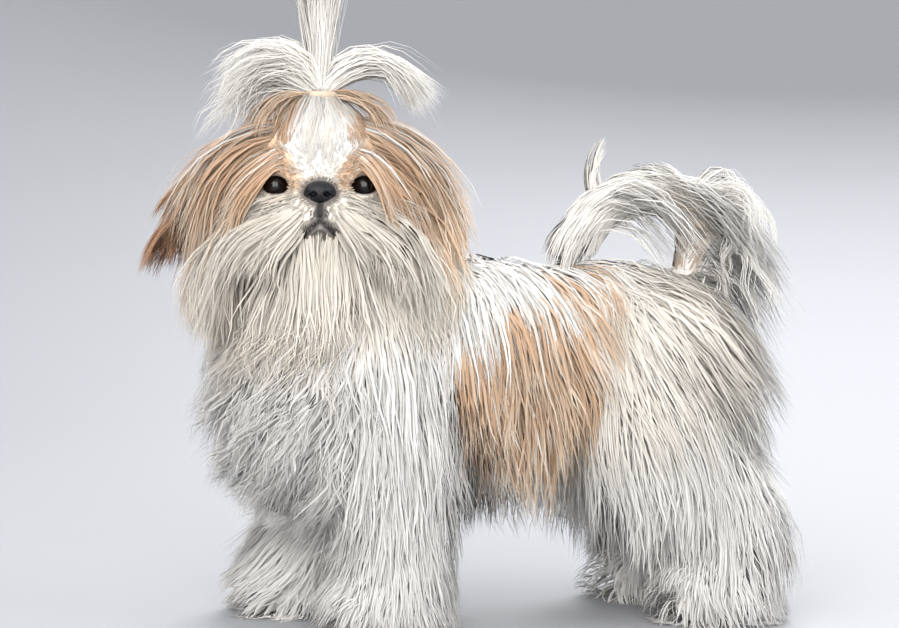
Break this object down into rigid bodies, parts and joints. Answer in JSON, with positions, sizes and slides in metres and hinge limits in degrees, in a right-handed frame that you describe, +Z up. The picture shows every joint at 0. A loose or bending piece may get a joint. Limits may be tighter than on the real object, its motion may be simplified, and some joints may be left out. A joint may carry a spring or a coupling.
{
  "type": "shih tzu",
  "caption": "Life-size still model of a standing long-coated Shih Tzu, head turned to its left, hair tied up in a topknot, tail curled over the back.",
  "frame": {"origin": "on the floor, under the middle of the dog's box", "axes": "+Z up; the dog faces -X and its left side faces -Y, so +Y is across the body"},
  "size_m": [0.4292, 0.197, 0.4434],
  "materials": {
    "white_coat": "soft long hair, white with cream shadows",
    "tan_coat": "soft long hair, golden tan",
    "skin": "pale skin under short hair",
    "lips": "dark damp lips and lids",
    "eye": "wet, very dark brown",
    "nose_leather": "moist black, finely pebbled",
    "band": "matt cream elastic"
  },
  "bodies": {
    "root": {"eye_left": "eye", "eye_right": "eye", "nose": "nose_leather", "head": "white_coat", "ear_left": "tan_coat", "ear_right": "tan_coat", "hair_band": "band", "topknot": "white_coat", "topknot_fall_left": "white_coat", "topknot_fall_right": "white_coat", "neck": "white_coat", "torso": "white_coat", "tail_base": "white_coat", "tail_plume": "white_coat", "front_leg_left": "white_coat", "front_leg_right": "white_coat", "rear_leg_left": "white_coat", "rear_leg_right": "white_coat"}
  },
  "joints": []
}
